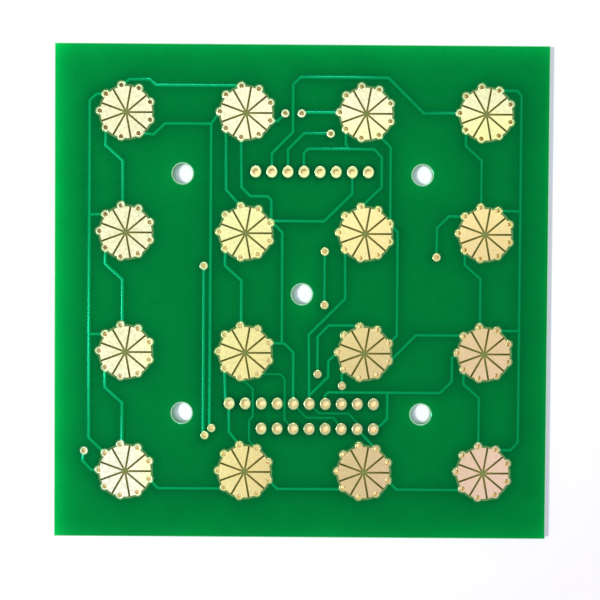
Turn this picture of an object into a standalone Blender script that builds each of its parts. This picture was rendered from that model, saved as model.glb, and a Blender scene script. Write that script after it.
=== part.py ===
"""A bare printed circuit board: sixteen round nine-way contact pads, three rows of plated
header holes, single vias, mounting holes, copper tracks, and solder mask on both sides.

The origin is the middle of the board's underside, X runs to the right, Y to the board's far
edge and Z up through its thickness. Sizes are in millimetres and become metres as each mesh
is made. Layers that touch on the real board keep a small clearance to each other.
"""

import math

import bmesh
import bpy
from mathutils import Matrix

MM = 0.001
WELD_DISTANCE = 0.0001 * MM

# ---------------------------------------------------------------- heights through the board
BOARD_THICKNESS = 1.600
COPPER = 0.040
MASK = 0.025
CLEARANCE = 0.015

BACK_COPPER = (0.0, COPPER)
BACK_MASK = (COPPER - MASK, COPPER)
FRONT_MASK = (BOARD_THICKNESS - MASK, BOARD_THICKNESS)
FRONT_COPPER = (FRONT_MASK[0] - CLEARANCE - COPPER, FRONT_MASK[0] - CLEARANCE)
LAMINATE = (BACK_COPPER[1] + CLEARANCE, FRONT_COPPER[0] - CLEARANCE)

# ---------------------------------------------------------------- outline and mounting holes
BOARD_SIDE = 78.0
MOUNT_CENTRE = (0.12, -0.33)
MOUNT_SPACING = 37.84
MOUNT_HOLE_RADIUS = 1.60
MOUNT_MASK_RADIUS = 1.76
MOUNT_SEGMENTS = 24

# ---------------------------------------------------------------- contact pads
PAD_ROWS = 4
PAD_COLUMNS = 4
PAD_PITCH = 18.92
PAD_GRID_CENTRE = (0.66, -0.20)
SECTORS = 9
SECTOR_ANGLE = 360 / SECTORS
SECTOR_RADIUS = 4.08
SLOT_WIDTH = 0.25
HUB_RING = (0.46, 0.63)
LOBE_RADIUS = 0.68
LOBE_CIRCLE_RADIUS = 4.08
LOBE_CIRCLE_SHIFT = (-0.08, 0.20)
LOBE_STEPS = 3
WINDOW_RADIUS = 4.45
WINDOW_MARGIN = 0.07

# ---------------------------------------------------------------- plated holes
PIN_PITCH = 2.54
PIN_BORE, PIN_BARREL, PIN_RING = 0.50, 0.55, 0.93
VIA_BORE, VIA_BARREL, VIA_RING = 0.31, 0.36, 0.66
BARREL_CLEARANCE = 0.04
HOLE_SEGMENTS = 8

# Each header row: the centre of its first hole, and how many holes it has.
HEADERS = {
    "j1": ((-7.28, 18.98), 8),
    "j2": ((-11.27, -17.70), 10),
    "j3": ((-6.19, -21.68), 8),
}
VIAS = {
    "via_1": (-2.66, 28.15),
    "via_2": (-0.09, 28.15),
    "via_3": (4.52, 25.00),
    "via_4": (3.72, 6.44),
    "via_5": (21.37, 5.62),
    "via_6": (-15.40, 4.06),
    "via_7": (3.72, -2.03),
    "via_8": (2.70, -12.98),
    "via_9": (6.57, -14.82),
    "via_10": (-14.07, -21.65),
    "via_11": (-15.15, -22.80),
    "via_12": (-34.27, -25.36),
}

# ---------------------------------------------------------------- tracks
TRACK = 0.45
THIN_TRACK = 0.30
TRACK_GAP = 0.10
LEFT_BUS_X = -33.47
RIGHT_BUS_X = 34.53
FOOT_LINK_Y = -31.25
DROP_SLOPE = 0.9


def hub(row, column):
    """Centre of a contact pad."""
    x = PAD_GRID_CENTRE[0] + (column - (PAD_COLUMNS + 1) / 2) * PAD_PITCH
    y = PAD_GRID_CENTRE[1] - (row - (PAD_ROWS + 1) / 2) * PAD_PITCH
    return (x, y)


def lobe(row, column, bearing):
    """Centre of the round lobe on the sector that lies at a bearing, in degrees from +X."""
    x, y = hub(row, column)
    turn = math.radians(bearing)
    return (
        x + LOBE_CIRCLE_SHIFT[0] + LOBE_CIRCLE_RADIUS * math.cos(turn),
        y + LOBE_CIRCLE_SHIFT[1] + LOBE_CIRCLE_RADIUS * math.sin(turn),
    )


def lobe_bearings():
    """Bearing of each lobe of a pad: the middle of each sector."""
    return [SECTOR_ANGLE * (number + 0.5) for number in range(SECTORS)]


def header_pins():
    """Centre of each header hole, by name."""
    return {
        f"{header}_pin{number + 1}": (x + PIN_PITCH * number, y)
        for header, ((x, y), count) in HEADERS.items()
        for number in range(count)
    }


PINS = header_pins()
PADS = [(row, column) for row in range(1, PAD_ROWS + 1) for column in range(1, PAD_COLUMNS + 1)]
MOUNT_HOLES = [MOUNT_CENTRE] + [
    (MOUNT_CENTRE[0] + x * MOUNT_SPACING / 2, MOUNT_CENTRE[1] + y * MOUNT_SPACING / 2)
    for x in (-1, 1)
    for y in (-1, 1)
]


# ---------------------------------------------------------------- routes of the tracks
def drop(row, column, bend_y, end_x):
    """Route from a pad's lower left lobe down to the top lobe of the pad below it."""
    start = lobe(row, column, 220)
    level_y = bend_y - DROP_SLOPE * (end_x - start[0])
    end_y = lobe(row + 1, column, 100)[1]
    return [start, (start[0], bend_y), (end_x, level_y), (end_x, end_y)]


def branch(bus_x, row, column, bearing):
    """Route straight across from an upright bus to a lobe."""
    end = lobe(row, column, bearing)
    return [(bus_x, end[1]), end]


def foot_link(column):
    """Route along the bottom, from a pad of the last row to the next pad of that row."""
    start = lobe(PAD_ROWS, column, 340)
    bend_x = start[0] + start[1] - FOOT_LINK_Y
    end_x = lobe(PAD_ROWS, column + 1, 220)[0]
    return [start, (bend_x, FOOT_LINK_Y), (end_x, FOOT_LINK_Y)]


def pad_tracks():
    """Centre lines of the tracks that belong to each contact pad, by row and column."""
    left_bus = [
        lobe(1, 1, 140),
        (LEFT_BUS_X + 1.07, lobe(1, 1, 140)[1]),
        (LEFT_BUS_X, 30.0),
        (LEFT_BUS_X, -23.3),
        lobe(4, 1, 140),
    ]
    right_bus = [
        lobe(1, 4, 60),
        (RIGHT_BUS_X - 0.68, lobe(1, 4, 60)[1]),
        (RIGHT_BUS_X, 31.15),
        (RIGHT_BUS_X, -23.6),
        (RIGHT_BUS_X - 1.13, lobe(4, 4, 60)[1]),
        lobe(4, 4, 60),
    ]
    tracks = {
        (1, 1): [
            [lobe(1, 1, 100), (-27.3, 33.32), (-24.05, 33.32), (-23.05, 32.4), lobe(1, 2, 100)],
            left_bus,
            branch(LEFT_BUS_X, 2, 1, 140),
            branch(LEFT_BUS_X, 3, 1, 140),
            drop(1, 1, 23.0, -28.2),
        ],
        (2, 1): [drop(2, 1, 4.3, -28.2)],
        (3, 1): [drop(3, 1, -15.25, -28.2)],
        (1, 2): [
            [lobe(1, 2, 220), (-11.9, 16.1), lobe(2, 2, 100)],
            [lobe(1, 2, 260), (-9.48, 16.5), (-8.1, 15.07), (-5.35, 15.07), (-4.76, 14.45),
             (-4.76, 10.86)],
        ],
        (2, 2): [drop(2, 2, 4.1, -9.4)],
        (1, 3): [[lobe(1, 3, 300), (14.0, 22.9), (14.0, 10.86)]],
        (2, 3): [[lobe(2, 3, 20), (15.2, 9.6), (15.2, -6.8), lobe(3, 3, 20)]],
        (3, 3): [[lobe(3, 3, 340), (14.6, -10.4), (18.2, -6.72), (25.84, -6.72)]],
        (1, 4): [
            right_bus,
            branch(RIGHT_BUS_X, 2, 4, 60),
            branch(RIGHT_BUS_X, 3, 4, 60),
            drop(1, 4, 23.2, 28.35),
        ],
        (2, 4): [drop(2, 4, 4.5, 28.35)],
        (3, 4): [drop(3, 4, -14.4, 28.29)],
    }
    for column in range(1, PAD_COLUMNS):
        tracks[PAD_ROWS, column] = [foot_link(column)]
    return tracks


def pad_thin_tracks():
    """Centre lines of the thin tracks that belong to each contact pad."""
    return {
        (3, 2): [
            [lobe(3, 2, 260), (-7.5, -15.4), (-7.5, -19.8), (-8.07, -20.4), (-8.07, -23.6),
             lobe(4, 2, 60)],
        ],
    }


def net_tracks():
    """Centre lines of the tracks that join plated holes, by the holes that they join."""
    return {
        ("j1_pin2",): [
            [PINS["j1_pin2"], (-4.74, 21.85), (-1.45, 25.2), (-1.45, 32.7), (-0.3, 33.8),
             (13.55, 33.8), (19.15, 28.28), (24.88, 28.28)],
        ],
        ("j1_pin3", "via_3"): [[PINS["j1_pin3"], (-2.2, 22.5), (0.3, 25.0), VIAS["via_3"]]],
        ("j1_pin4",): [
            [PINS["j1_pin4"], (0.29, 21.9), (0.95, 22.57), (11.4, 22.57), (12.6, 21.35),
             (12.6, 16.6), lobe(2, 3, 100)],
            [lobe(1, 3, 220), (6.9, 23.3), (7.5, 22.57)],
        ],
        ("j1_pin7",): [[PINS["j1_pin7"], (8.0, 15.6), (3.55, 11.18), (-5.04, 11.18)]],
        ("j2_pin1",): [
            [lobe(3, 2, 220), (-11.8, -17.7)],
            [PINS["j2_pin1"], (-11.27, -22.2), lobe(4, 2, 100)],
        ],
        ("j2_pin5", "j3_pin6"): [
            [lobe(2, 2, 20), (-4.1, 10.5), (-3.0, 9.4), (-3.0, -8.17)],
            [lobe(3, 2, 20), (-2.55, -8.17), (-1.15, -9.55), PINS["j2_pin5"]],
        ],
        ("j2_pin6", "j3_pin7"): [
            [lobe(2, 3, 220), (7.0, -1.0), (1.27, -6.75), PINS["j2_pin6"]],
            [lobe(3, 3, 180), (4.4, -10.85), (4.4, -13.4), (1.45, -16.35)],
            [PINS["j3_pin7"], lobe(4, 3, 60)],
        ],
        ("j2_pin7", "j3_pin8"): [
            [PINS["j2_pin7"], (3.9, -16.35), (4.4, -15.85), (22.1, -15.85), (23.97, -14.0),
             (23.97, -10.3), lobe(3, 4, 180)],
            [(13.79, -15.85), (13.79, -20.0), (12.8, -21.0), PINS["j3_pin8"]],
        ],
        ("j3_pin3",): [],
        ("via_1",): [[lobe(1, 2, 340), (-3.9, 26.87), VIAS["via_1"]]],
        ("via_2",): [[(-0.09, 28.25), (5.96, 28.25)]],
        ("via_4", "via_7"): [[VIAS["via_4"], VIAS["via_7"]]],
        ("via_5",): [[lobe(2, 4, 140), (23.25, 12.08), (21.4, 10.25), VIAS["via_5"]]],
        ("via_6", "via_11"): [[(-15.36, 4.06), (-15.36, -22.8)]],
        ("via_8",): [[VIAS["via_8"], (2.68, -7.05), (4.4, -5.25), (9.33, -5.25)]],
        ("via_9",): [[VIAS["via_9"], (6.55, -13.2), lobe(3, 3, 220)]],
        ("via_10",): [
            [lobe(1, 1, 300), (-23.4, 24.7), (-21.6, 26.43), (-14.33, 26.43), lobe(1, 2, 180)],
            [(-14.33, 26.43), (-14.33, -21.65)],
        ],
        ("via_12",): [[VIAS["via_12"], (-34.4, -27.0), (-33.1, -28.4), lobe(4, 1, 180)]],
    }


def net_thin_tracks():
    """Centre lines of the thin tracks of the same nets."""
    return {
        ("j2_pin5", "j3_pin6"): [
            [PINS["j2_pin5"], (0.95, -19.9), (5.35, -19.9), PINS["j3_pin6"]],
        ],
        ("j2_pin6", "j3_pin7"): [
            [PINS["j2_pin6"], (3.0, -19.2), (7.65, -19.2), (9.0, -20.6), PINS["j3_pin7"]],
        ],
        ("j3_pin3",): [
            [lobe(3, 2, 300), (-3.2, -13.02), (-2.47, -13.75), (-2.47, -20.2), PINS["j3_pin3"]],
        ],
    }


# ---------------------------------------------------------------- ends of the tracks
def direction(start, end):
    """Unit vector from one point to another."""
    length = math.dist(start, end)
    return ((end[0] - start[0]) / length, (end[1] - start[1]) / length)


def short_of(start, end, centre, reach):
    """Where a line from start to end first comes within reach of a centre."""
    ux, uy = direction(start, end)
    ahead = (centre[0] - start[0]) * ux + (centre[1] - start[1]) * uy
    aside = (centre[0] - start[0]) * uy - (centre[1] - start[1]) * ux
    travel = ahead - math.sqrt(reach**2 - aside**2)
    return (start[0] + travel * ux, start[1] + travel * uy)


def trimmed_end(start, end, own_pad, own_holes):
    """A track's end, stopped inside the ring of its own hole or just short of another pad."""
    for hole in own_holes:
        centre = hole_centre(hole)
        bore, _, ring = hole_radii(hole)
        if math.dist(end, centre) < ring:
            return short_of(start, end, centre, (bore + ring) / 2)
    for row, column in PADS:
        if (row, column) == own_pad:
            continue
        for bearing in lobe_bearings():
            centre = lobe(row, column, bearing)
            if math.dist(end, centre) < LOBE_RADIUS:
                return short_of(start, end, centre, LOBE_RADIUS + TRACK_GAP)
    return end


def trimmed(route, own_pad, own_holes):
    """A route with both its ends trimmed."""
    first = trimmed_end(route[1], route[0], own_pad, own_holes)
    last = trimmed_end(route[-2], route[-1], own_pad, own_holes)
    return [first, *route[1:-1], last]


def hole_centre(hole):
    """Centre of a plated hole."""
    return PINS[hole] if hole in PINS else VIAS[hole]


def hole_radii(hole):
    """Inner radius of a plated hole, outer radius of its barrel and radius of its rings."""
    if hole in PINS:
        return (PIN_BORE, PIN_BARREL, PIN_RING)
    return (VIA_BORE, VIA_BARREL, VIA_RING)


# ---------------------------------------------------------------- outlines
def arc(centre, radius, start, end, steps):
    """Points along an arc, both ends included; angles in radians."""
    turns = [start + (end - start) * step / steps for step in range(steps + 1)]
    return [(centre[0] + radius * math.cos(t), centre[1] + radius * math.sin(t)) for t in turns]


def circle(centre, radius, segments):
    """Points of a circle, with the first one half a step above +X."""
    half_step = math.pi / segments
    return arc(centre, radius, half_step, 2 * math.pi - half_step, segments - 1)


def square(side):
    """A square around the origin."""
    half = side / 2
    return [(-half, -half), (half, -half), (half, half), (-half, half)]


def lobe_arc(centre, lobe_radius, edge_radius):
    """The stretch of a lobe's rim that lies outside a circle around the hub."""
    distance = math.hypot(*centre)
    outward = math.atan2(centre[1], centre[0])
    cosine = (edge_radius**2 - distance**2 - lobe_radius**2) / (2 * distance * lobe_radius)
    spread = math.acos(cosine)
    return arc(centre, lobe_radius, outward - spread, outward + spread, LOBE_STEPS)


def slot_corners(bearing):
    """The four corners of the slot between two sectors, in from the rim and out again."""
    turn = math.radians(bearing)
    half = SLOT_WIDTH / 2
    rim = math.sqrt(SECTOR_RADIUS**2 - half**2)
    corners = [(rim, -half), (HUB_RING[1], -half), (HUB_RING[1], half), (rim, half)]
    return [
        (u * math.cos(turn) - v * math.sin(turn), u * math.sin(turn) + v * math.cos(turn))
        for u, v in corners
    ]


def lobed_outline(row, column, edge_radius, lobe_radius, slotted):
    """A circle around a hub with a round lobe on each sector, and slots between the sectors."""
    x, y = hub(row, column)
    points = []
    for bearing in lobe_bearings():
        if slotted:
            points += slot_corners(bearing - SECTOR_ANGLE / 2)
        lobe_x, lobe_y = lobe(row, column, bearing)
        points += lobe_arc((lobe_x - x, lobe_y - y), lobe_radius, edge_radius)
    return [(x + px, y + py) for px, py in points]


def strip(route, width):
    """Both sides of a line of constant width, mitred at its bends."""
    left, right = [], []
    for index, (x, y) in enumerate(route):
        before = direction(route[max(index - 1, 0)], route[max(index, 1)])
        after = direction(route[min(index, len(route) - 2)], route[min(index + 1, len(route) - 1)])
        across = (-(before[1] + after[1]), before[0] + after[0])
        mitre = width / 2 / (across[1] * after[0] - across[0] * after[1])
        left.append((x + mitre * across[0], y + mitre * across[1]))
        right.append((x - mitre * across[0], y - mitre * across[1]))
    return right + left[::-1]


# ---------------------------------------------------------------- solids
def flat_solid(name, outlines, heights, collection):
    """A flat sheet: the first outline is its edge and any others are openings in it."""
    curve = bpy.data.curves.new(name, "CURVE")
    curve.dimensions = "2D"
    curve.fill_mode = "BOTH"
    curve.extrude = (heights[1] - heights[0]) / 2
    for outline in outlines:
        spline = curve.splines.new("POLY")
        spline.points.add(len(outline) - 1)
        for point, (x, y) in zip(spline.points, outline):
            point.co = (x, y, 0.0, 1.0)
        spline.use_cyclic_u = True
    drawn = bpy.data.objects.new(name + "_outline", curve)
    drawn.matrix_world = Matrix.Scale(MM, 4)
    bpy.context.scene.collection.objects.link(drawn)
    bpy.context.view_layer.update()
    evaluated = drawn.evaluated_get(bpy.context.evaluated_depsgraph_get())
    mesh = bpy.data.meshes.new_from_object(evaluated)
    mesh.name = name
    mesh.transform(drawn.matrix_world)
    bpy.data.objects.remove(drawn)
    bpy.data.curves.remove(curve)
    for vertex in mesh.vertices:
        vertex.co.z = (heights[1] if vertex.co.z > 0 else heights[0]) * MM
    weld(mesh)
    solid = bpy.data.objects.new(name, mesh)
    collection.objects.link(solid)
    return solid


def weld(mesh):
    """Join a filled outline's caps to its sides, with every face pointing out."""
    shape = bmesh.new()
    shape.from_mesh(mesh)
    bmesh.ops.remove_doubles(shape, verts=shape.verts, dist=WELD_DISTANCE)
    bmesh.ops.recalc_face_normals(shape, faces=shape.faces)
    shape.to_mesh(mesh)
    shape.free()


def eyelet(name, hole, collection):
    """A plated hole: a tube through the board with a flat ring at each end, turned by Screw."""
    bore, barrel, ring = hole_radii(hole)
    profile = [
        (bore, FRONT_COPPER[1]),
        (ring, FRONT_COPPER[1]),
        (ring, FRONT_COPPER[0]),
        (barrel, FRONT_COPPER[0]),
        (barrel, BACK_COPPER[1]),
        (ring, BACK_COPPER[1]),
        (ring, BACK_COPPER[0]),
        (bore, BACK_COPPER[0]),
    ]
    turn = math.pi / HOLE_SEGMENTS
    corners = [(r * MM * math.cos(turn), r * MM * math.sin(turn), z * MM) for r, z in profile]
    edges = [(index, (index + 1) % len(corners)) for index in range(len(corners))]
    mesh = bpy.data.meshes.new(name)
    mesh.from_pydata(corners, edges, [])
    solid = bpy.data.objects.new(name, mesh)
    centre = hole_centre(hole)
    solid.location = (centre[0] * MM, centre[1] * MM, 0.0)
    turning = solid.modifiers.new("turned", "SCREW")
    turning.steps = HOLE_SEGMENTS
    turning.render_steps = HOLE_SEGMENTS
    turning.use_merge_vertices = True
    turning.merge_threshold = WELD_DISTANCE
    collection.objects.link(solid)
    return solid


def join(solid, members):
    """Union members into a solid; each member stays hidden as its construction."""
    for member in members:
        member.hide_render = True
        member.display_type = "WIRE"
        union = solid.modifiers.new(member.name, "BOOLEAN")
        union.operation = "UNION"
        union.solver = "EXACT"
        union.object = member


def track_solids(name, routes, width, own_pad, own_holes, construction):
    """Strips of copper along routes, as construction to be joined to a piece."""
    return [
        flat_solid(
            f"{name}_{int(width * 100)}_{number + 1}",
            [strip(trimmed(route, own_pad, own_holes), width)],
            FRONT_COPPER,
            construction,
        )
        for number, route in enumerate(routes)
    ]


# ---------------------------------------------------------------- the board's pieces
def make_contact_pad(row, column, board, construction):
    """Nine gold sectors with a lobe each, held together by a thin ring at the hub."""
    name = f"contact_pad_r{row}c{column}"
    outline = lobed_outline(row, column, SECTOR_RADIUS, LOBE_RADIUS, True)
    hub_opening = circle(hub(row, column), HUB_RING[0], SECTORS)
    foil = flat_solid(name, [outline, hub_opening], FRONT_COPPER, board)
    key = (row, column)
    wide = track_solids(name, pad_tracks().get(key, []), TRACK, key, (), construction)
    thin = track_solids(name, pad_thin_tracks().get(key, []), THIN_TRACK, key, (), construction)
    join(foil, wide + thin)
    return foil


def make_net(holes, board, construction):
    """Plated holes joined by their tracks into one piece of copper."""
    name = "net_" + "_".join(holes)
    first = eyelet(name, holes[0], board)
    others = [eyelet(f"{name}_{hole}", hole, construction) for hole in holes[1:]]
    wide = track_solids(name, net_tracks()[holes], TRACK, None, holes, construction)
    thin_routes = net_thin_tracks().get(holes, [])
    thin = track_solids(name, thin_routes, THIN_TRACK, None, holes, construction)
    join(first, wide + thin + others)
    return first


def make_lone_eyelets(board):
    """The header holes that no track of the front reaches."""
    joined = {hole for holes in net_tracks() for hole in holes}
    return [eyelet(f"eyelet_{hole}", hole, board) for hole in PINS if hole not in joined]


def hole_openings(margin_of):
    """Round openings around every plated hole; margin_of gives the radius for a hole."""
    return [
        circle(hole_centre(hole), margin_of(hole), HOLE_SEGMENTS) for hole in [*PINS, *VIAS]
    ]


def barrel_opening_radius(hole):
    """Radius of the laminate's hole around a barrel."""
    return hole_radii(hole)[1] + BARREL_CLEARANCE


def ring_opening_radius(hole):
    """Radius of the mask's opening around a ring."""
    return hole_radii(hole)[2] + WINDOW_MARGIN


def make_laminate(board):
    """The glass-fibre board with its drilled holes."""
    mounts = [circle(centre, MOUNT_HOLE_RADIUS, MOUNT_SEGMENTS) for centre in MOUNT_HOLES]
    outlines = [square(BOARD_SIDE), *mounts, *hole_openings(barrel_opening_radius)]
    return flat_solid("laminate", outlines, LAMINATE, board)


def make_mask(name, heights, windows, board):
    """A film of solder mask, open at the mounting holes, the plated holes and its windows."""
    mounts = [circle(centre, MOUNT_MASK_RADIUS, MOUNT_SEGMENTS) for centre in MOUNT_HOLES]
    openings = mounts + hole_openings(ring_opening_radius) + windows
    return flat_solid(name, [square(BOARD_SIDE), *openings], heights, board)


def pad_windows():
    """The mask's lobed opening around each contact pad."""
    lobe_radius = LOBE_RADIUS + WINDOW_MARGIN
    return [
        lobed_outline(row, column, WINDOW_RADIUS, lobe_radius, False) for row, column in PADS
    ]


def make_material(name, colour, roughness, metallic):
    """A plain Principled material."""
    material = bpy.data.materials.new(name)
    material.use_nodes = True
    shader = material.node_tree.nodes["Principled BSDF"]
    shader.inputs["Base Color"].default_value = (*colour, 1.0)
    shader.inputs["Roughness"].default_value = roughness
    shader.inputs["Metallic"].default_value = metallic
    return material


def finish(solids, material):
    """Give each solid a material."""
    for solid in solids:
        solid.data.materials.append(material)


def new_collection(name):
    """A collection in the scene."""
    collection = bpy.data.collections.new(name)
    bpy.context.scene.collection.children.link(collection)
    return collection


def main():
    """Build the board."""
    for old in list(bpy.data.objects):
        bpy.data.objects.remove(old)
    board = new_collection("printed_circuit_board")
    construction = new_collection("construction")

    green = make_material("solder_mask_green", (0.0, 0.22, 0.045), 0.30, 0.0)
    glass_fibre = make_material("glass_fibre_laminate", (0.46, 0.44, 0.26), 0.55, 0.0)
    gold = make_material("gold_plating", (0.86, 0.80, 0.42), 0.32, 1.0)

    laminate = make_laminate(board)
    front_mask = make_mask("front_solder_mask", FRONT_MASK, pad_windows(), board)
    back_mask = make_mask("back_solder_mask", BACK_MASK, [], board)
    pads = [make_contact_pad(row, column, board, construction) for row, column in PADS]
    nets = [make_net(holes, board, construction) for holes in net_tracks()]
    eyelets = make_lone_eyelets(board)

    finish([laminate], glass_fibre)
    finish([front_mask, back_mask], green)
    finish(pads + nets + eyelets, gold)


if __name__ == "__main__":
    main()
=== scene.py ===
# %% [markdown]
# # A bare printed circuit board
#
# A printed circuit board is a stack of very thin layers on a stiff sheet, the laminate, which is woven
# glass in resin. On it lies etched copper: round contact pads, narrow tracks, and a ring at each
# plated hole. A film of green solder mask covers all but the pads and rings, and the copper that is
# left bare gets a skin of gold. This notebook builds those layers one by one.
#
# The frame comes first. It is the engineering model of the same board, with every piece at its real
# size, and each piece made here stands for one of its pieces.

import math
import re

import bpy
import numpy as np
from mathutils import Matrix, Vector
from mathutils.bvhtree import BVHTree


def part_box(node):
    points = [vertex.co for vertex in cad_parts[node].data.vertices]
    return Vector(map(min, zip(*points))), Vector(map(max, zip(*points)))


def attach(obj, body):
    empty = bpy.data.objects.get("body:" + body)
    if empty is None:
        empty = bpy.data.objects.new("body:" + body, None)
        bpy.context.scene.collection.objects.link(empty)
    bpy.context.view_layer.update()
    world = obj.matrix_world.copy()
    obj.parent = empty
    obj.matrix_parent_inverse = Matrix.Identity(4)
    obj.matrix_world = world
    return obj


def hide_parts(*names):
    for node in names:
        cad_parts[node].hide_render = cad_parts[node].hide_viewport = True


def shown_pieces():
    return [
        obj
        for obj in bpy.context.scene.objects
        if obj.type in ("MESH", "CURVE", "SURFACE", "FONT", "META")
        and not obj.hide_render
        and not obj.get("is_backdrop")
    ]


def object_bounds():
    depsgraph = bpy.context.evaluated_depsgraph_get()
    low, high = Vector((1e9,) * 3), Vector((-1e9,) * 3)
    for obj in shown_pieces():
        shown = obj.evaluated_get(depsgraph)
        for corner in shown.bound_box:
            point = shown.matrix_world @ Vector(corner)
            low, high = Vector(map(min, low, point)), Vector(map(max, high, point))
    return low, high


MM = 0.001

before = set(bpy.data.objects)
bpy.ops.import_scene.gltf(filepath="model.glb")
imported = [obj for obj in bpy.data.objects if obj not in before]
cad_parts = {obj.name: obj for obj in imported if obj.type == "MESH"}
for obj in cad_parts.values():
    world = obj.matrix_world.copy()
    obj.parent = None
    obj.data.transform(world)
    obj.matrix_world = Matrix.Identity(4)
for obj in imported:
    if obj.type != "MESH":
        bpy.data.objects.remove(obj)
cad_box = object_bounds()
BOARD_SIDE = (cad_box[1].x - cad_box[0].x) / MM
BOARD_THICKNESS = cad_box[1].z / MM
print(f"{len(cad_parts)} pieces, {BOARD_SIDE:.1f} mm square and {BOARD_THICKNESS:.2f} mm thick")

# %% [markdown]
# ## The camera
#
# The board lies flat, so the camera hangs over it and looks almost straight down. A long lens at a
# distance keeps the square nearly square. The small turns are those of a hand-held camera: without
# them the board would stand too straight in the picture.

# %% Hang the camera over the board
CAMERA_PLACE = (-0.394, 3.848, 200.0)
CAMERA_TURN = (-1.471, -0.057, 0.396)
LENS, SENSOR = 75.33, 36.0

bpy.ops.object.camera_add(
    location=[value * MM for value in CAMERA_PLACE],
    rotation=[math.radians(value) for value in CAMERA_TURN],
)
camera = bpy.context.object
camera.data.lens = LENS
camera.data.sensor_width = SENSOR
camera.data.clip_start = 10 * MM
bpy.context.scene.camera = camera
print(f"camera {CAMERA_PLACE[2]:.0f} mm above the board with a {LENS:.0f} mm lens")

# %% [markdown]
# ## Finishes and light from nodes
#
# Every finish here is a Principled BSDF whose inputs are fed by a few nodes. Adding them by hand, in
# the editor, would take hundreds of steps, so helpers do it. One turns a node's output into a Value,
# on which plain arithmetic works: each plus or times sign adds a Math node. Patterns read Object
# coordinates, which stay put on the piece, and a Mapping node turns them into millimetres, so that
# the numbers in a pattern are real sizes. A name that ends in RANGE or FADE holds two measures, and
# the two levels that they stand for.

# %% Values, which add a Math node for each step of arithmetic
def set_inputs(node, inputs):
    """Each input of a node is given a number, a colour, or the value that feeds it."""
    for name, value in inputs.items():
        if isinstance(value, Value):
            value.tree.links.new(value.socket, node.inputs[name])
        elif node.inputs[name].type == "RGBA":
            node.inputs[name].default_value = (*value, 1)
        else:
            node.inputs[name].default_value = value


def add_node(tree, kind, output, inputs=None, **settings):
    """One node with its settings and inputs, and the output that is wanted of it."""
    node = tree.nodes.new(kind)
    for name, value in settings.items():
        setattr(node, name, value)
    set_inputs(node, inputs or {})
    return Value(node.outputs[output])


def feed(kind, output, inputs, **settings):
    """One node, in the tree that its inputs come from."""
    tree = next(value.tree for value in inputs.values() if isinstance(value, Value))
    return add_node(tree, kind, output, inputs, **settings)


def step(operation):
    """A method that feeds a value, and others if the operation needs them, to a Math node."""
    return lambda *values: feed("ShaderNodeMath", 0, dict(enumerate(values)), operation=operation)


class Value:
    """A node's output, and the steps of arithmetic that can be done with it."""

    def __init__(self, socket):
        self.socket = socket
        self.tree = socket.id_data

    __add__, __sub__, __mul__ = step("ADD"), step("SUBTRACT"), step("MULTIPLY")
    __gt__, __lt__, __abs__ = step("GREATER_THAN"), step("LESS_THAN"), step("ABSOLUTE")
    largest, smallest, root = step("MAXIMUM"), step("MINIMUM"), step("SQRT")
    cosine, arctan2, wrapped = step("COSINE"), step("ARCTAN2"), step("WRAP")


print("values ready")

# %% Helpers that add one node each
def new_material(name):
    """A material with its Principled BSDF, and the coordinates on its piece in millimetres."""
    material = bpy.data.materials.new(name)
    material.use_nodes = True
    here = add_node(material.node_tree, "ShaderNodeTexCoord", "Object")
    here = feed("ShaderNodeMapping", "Vector", {"Vector": here, "Scale": [1 / MM] * 3})
    return material, material.node_tree.nodes["Principled BSDF"], here


def coordinate(place, axis):
    """One coordinate of a place."""
    return feed("ShaderNodeSeparateXYZ", axis, {0: place})


def noise(place, size, detail=2.0):
    """Soft random spots of about one size, in millimetres, from 0 to 1."""
    return feed("ShaderNodeTexNoise", "Fac", {"Vector": place, "Scale": 1 / size, "Detail": detail})


def ranged(value, low, high, new_low, new_high):
    """A value carried from one range to another, and held at its ends."""
    return feed("ShaderNodeMapRange", 0, dict(enumerate((value, low, high, new_low, new_high))))


def uneven(pattern, low, high):
    """Noise, which hardly ever leaves 0.3 to 0.7, carried to a range of its own."""
    return ranged(pattern, 0.3, 0.7, low, high)


def blend(share, first, second):
    """A mix of two colours by a share from 0 to 1."""
    return feed("ShaderNodeMix", 2, {0: share, 6: first, 7: second}, data_type="RGBA")


def tinted(first, second):
    """One colour multiplied by another."""
    kinds = {"data_type": "RGBA", "blend_type": "MULTIPLY"}
    return feed("ShaderNodeMix", 2, {0: 1.0, 6: first, 7: second}, **kinds)


def scaled(colour, value):
    """A colour made lighter or darker by a value."""
    return feed("ShaderNodeVectorMath", 0, {0: colour, "Scale": value}, operation="SCALE")


def colour_ramp(value, stops):
    """A colour that runs through several stops as a value goes from 0 to 1."""
    ramp = feed("ShaderNodeValToRGB", "Color", {"Fac": value})
    elements = ramp.socket.node.color_ramp.elements
    for stop, colour in stops[1:-1]:
        elements.new(stop)
    for element, (stop, colour) in zip(elements, stops):
        element.position = stop
        element.color = (*colour, 1)
    return ramp


def bumps(height, depth):
    """A surface normal from a height, which is worth this many millimetres."""
    inputs = {"Height": height, "Distance": depth * MM, "Strength": 1.0}
    return feed("ShaderNodeBump", "Normal", inputs)


def to_nearest(place, targets):
    """Distance from a place to the nearest of several points on the board, in millimetres."""
    nearest = None
    for x, y in targets:
        inputs = {0: place, 1: (x, y, 0)}
        away = feed("ShaderNodeVectorMath", "Value", inputs, operation="DISTANCE")
        nearest = nearest.smallest(away) if nearest else away
    return nearest


def seen_directly(tree):
    """1 where the camera, a mirror or glass looks, and 0 where light falls on a matt surface."""
    rays = [
        add_node(tree, "ShaderNodeLightPath", f"Is {kind} Ray")
        for kind in ("Camera", "Glossy", "Transmission")
    ]
    return rays[0].largest(rays[1]).largest(rays[2])


print("node helpers ready")

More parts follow.
